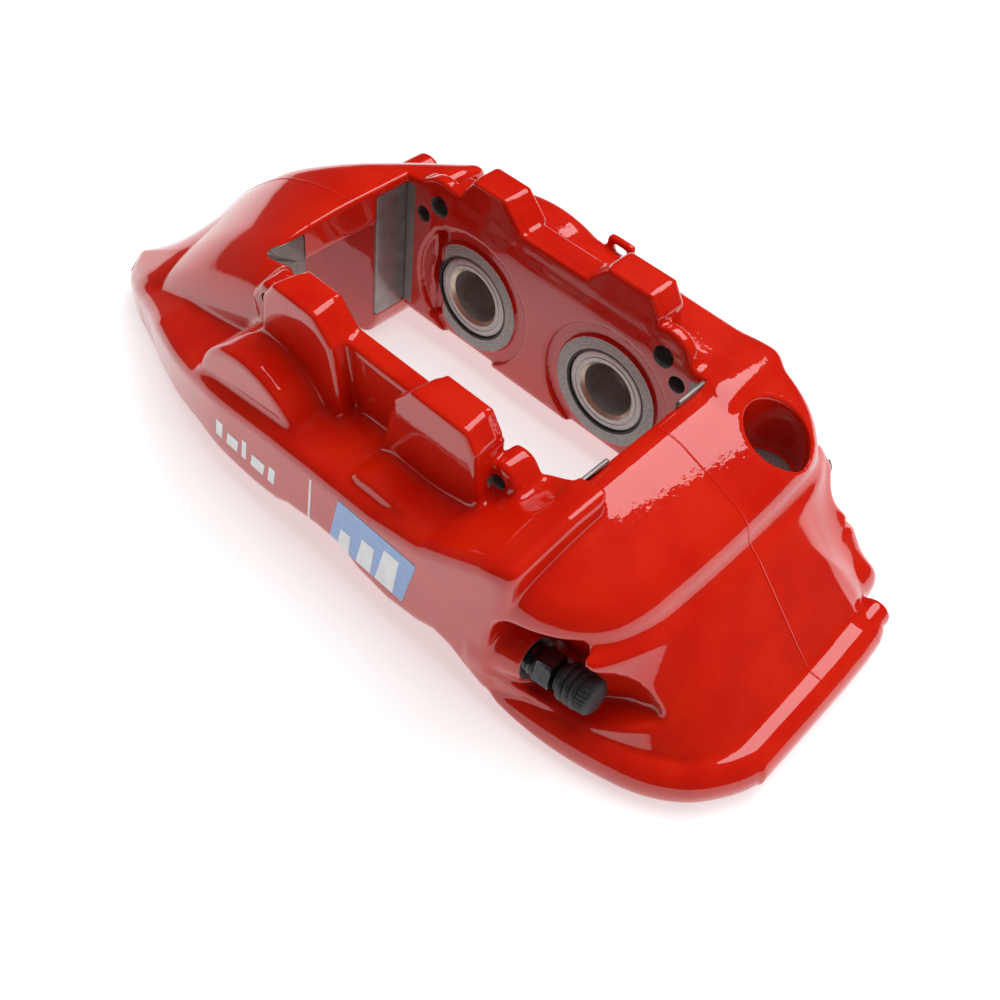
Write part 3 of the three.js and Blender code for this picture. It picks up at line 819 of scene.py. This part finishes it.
def mark(name, ink, left, low, width, height, lean, lift, taper=1.0):
    """A thin slanted patch of ink lying on the outboard face."""
    rows, columns = max(4, int(height / 1.2)), max(4, int(width / 1.2))
    v, u = np.meshgrid(np.linspace(0, 1, rows), np.linspace(0, 1, columns), indexing="ij")
    x = left + u * width * (taper + (1 - taper) * v) + v * lean
    z = low + v * height
    y = front_face(x, z)
    front, back = np.stack([x, y - lift, z], -1), np.stack([x, y + 0.1, z], -1)
    points = np.concatenate([front.reshape(-1, 3), back.reshape(-1, 3)])
    piece = new_piece(name, row_frame(points), grid_faces(rows, columns), ink)
    crease(piece.data, 0.6)
    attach(piece, "caliper")
    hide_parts("caliper_body")


BARS = [(-50, 3.4, 8.0), (-44.2, 5.6, 6.2), (-36.2, 2.2, 9.4), (-31.6, 6.4, 6.2), (-22.8, 3.0, 8.0)]
for number, (left, width, height) in enumerate(BARS):
    mark(f"bar_{number}", WHITE_INK, left, 23, width, height, 1.6, 0.10)
mark("rule", WHITE_INK, -3.4, 19.5, 0.9, 23, 2.4, 0.10)
mark("blue_flash", BLUE_INK, 7, 21, 33, 23, 5, 0.10)
for number in range(3):
    mark(f"stripe_{number}", WHITE_INK, 11 + 8.6 * number, 21.4, 4.2 + number, 10 + 4 * number,
         2 + 0.9 * number, 0.18, taper=1.25)


def parting_line(name, start, end, y=4.8):
    """The raised witness line the moulding tool leaves over a bridge."""
    x = np.linspace(start, end, int(abs(end - start) / 0.7))
    z = np.full(x.shape, 88.0)
    for _ in range(60):
        z = z - 0.8 * np.clip(casting(x, np.full(x.shape, y), z), -1, 4)
    section = [(-0.55, -0.25), (-0.34, 0.1), (0, 0.2), (0.34, 0.1), (0.55, -0.25)]
    run, fall = np.gradient(x), np.gradient(z)
    length = np.hypot(run, fall)
    up_x, up_z = -fall / length * np.sign(end - start), run / length * np.sign(end - start)
    points = np.concatenate([np.stack([x + up * up_x, np.full(x.shape, y + across), z + up * up_z], 1)
                             for across, up in section])
    n, rows = len(x), len(section)
    faces = [(r * n + i, r * n + i + 1, (r + 1) % rows * n + i + 1, (r + 1) % rows * n + i)
             for r in range(rows) for i in range(n - 1)]
    faces += [tuple(r * n for r in range(rows)), tuple(r * n + n - 1 for r in reversed(range(rows)))]
    piece = new_piece(name, row_frame(points), faces, PAINT)
    crease(piece.data, 1.2)
    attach(piece, "caliper")
    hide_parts("caliper_body")


parting_line("parting_line_right", WINDOW_X + 1.8, 148)
parting_line("parting_line_left", -WINDOW_X - 1.8, -148)

# ---- floor, light and camera ------------------------------------------------------------------
floor_mesh = bpy.data.meshes.new("floor")
floor_mesh.from_pydata([(-4, -4, 0), (4, -4, 0), (4, 4, 0), (-4, 4, 0)], [], [(0, 1, 2, 3)])
floor = link(bpy.data.objects.new("floor", floor_mesh))
white = bpy.data.materials.new("white")
white.use_nodes = True
shader = white.node_tree.nodes["Principled BSDF"]
shader.inputs["Base Color"].default_value = (0.62, 0.62, 0.62, 1)
shader.inputs["Roughness"].default_value = 0.7
shader.inputs["Emission Color"].default_value = (1, 1, 1, 1)
shader.inputs["Emission Strength"].default_value = 0.55
floor_mesh.materials.append(white)
floor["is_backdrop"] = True

world = bpy.data.worlds.new("studio")
bpy.context.scene.world = world
world.use_nodes = True
backdrop = world.node_tree.nodes["Background"]
backdrop.inputs["Color"].default_value = (1, 1, 1, 1)
seen = world.node_tree.nodes.new("ShaderNodeLightPath")
strength = world.node_tree.nodes.new("ShaderNodeMapRange")
strength.inputs["To Min"].default_value = 0.03
strength.inputs["To Max"].default_value = 0.9
world.node_tree.links.new(seen.outputs["Is Camera Ray"], strength.inputs["Value"])
world.node_tree.links.new(strength.outputs["Result"], backdrop.inputs["Strength"])
bpy.context.scene.view_settings.view_transform = "Standard"


def area_light(name, position, target, size, power):
    data = bpy.data.lights.new(name, "AREA")
    data.shape = "RECTANGLE"
    data.size, data.size_y = size
    data.energy = power
    lamp = link(bpy.data.objects.new(name, data))
    lamp.location = position
    lamp.rotation_euler = (Vector(target) - Vector(position)).to_track_quat("-Z", "Y").to_euler()
    return lamp


area_light("overhead", (0.02, 0.62, 1.0), (0, 0.1, 0), (0.8, 0.6), 5)
for name, where, power in (("fill_top", (0.0, 0.2, 1.5), 16), ("fill_right", (1.2, 0.3, 0.8), 8),
                           ("fill_left", (-1.2, -0.3, 0.9), 4), ("fill_front", (0.3, -1.2, 1.0), 1)):
    area_light(name, where, (0, 0, 0.04), (1.2, 1.2), power).visible_glossy = False

# the camera's own axes, and a 35 mm lens equivalent
RIGHT = Vector((0.72715, 0.67931, 0.09896))
UP = -Vector((0.57459, -0.52340, -0.62920))
FORWARD = Vector((-0.37563, 0.51438, -0.77091))
camera_data = bpy.data.cameras.new("camera")
camera_data.sensor_width = 36
camera_data.lens = 1.07295 * 36
camera = bpy.data.objects.new("camera", camera_data)
bpy.context.scene.collection.objects.link(camera)
rotation = Matrix((RIGHT, UP, -FORWARD)).transposed().to_4x4()
camera.matrix_world = Matrix.Translation((0.16623, -0.20199 + MIDPLANE_Y, 0.28378 + 0.0103)) @ rotation
bpy.context.scene.camera = camera

low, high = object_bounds()
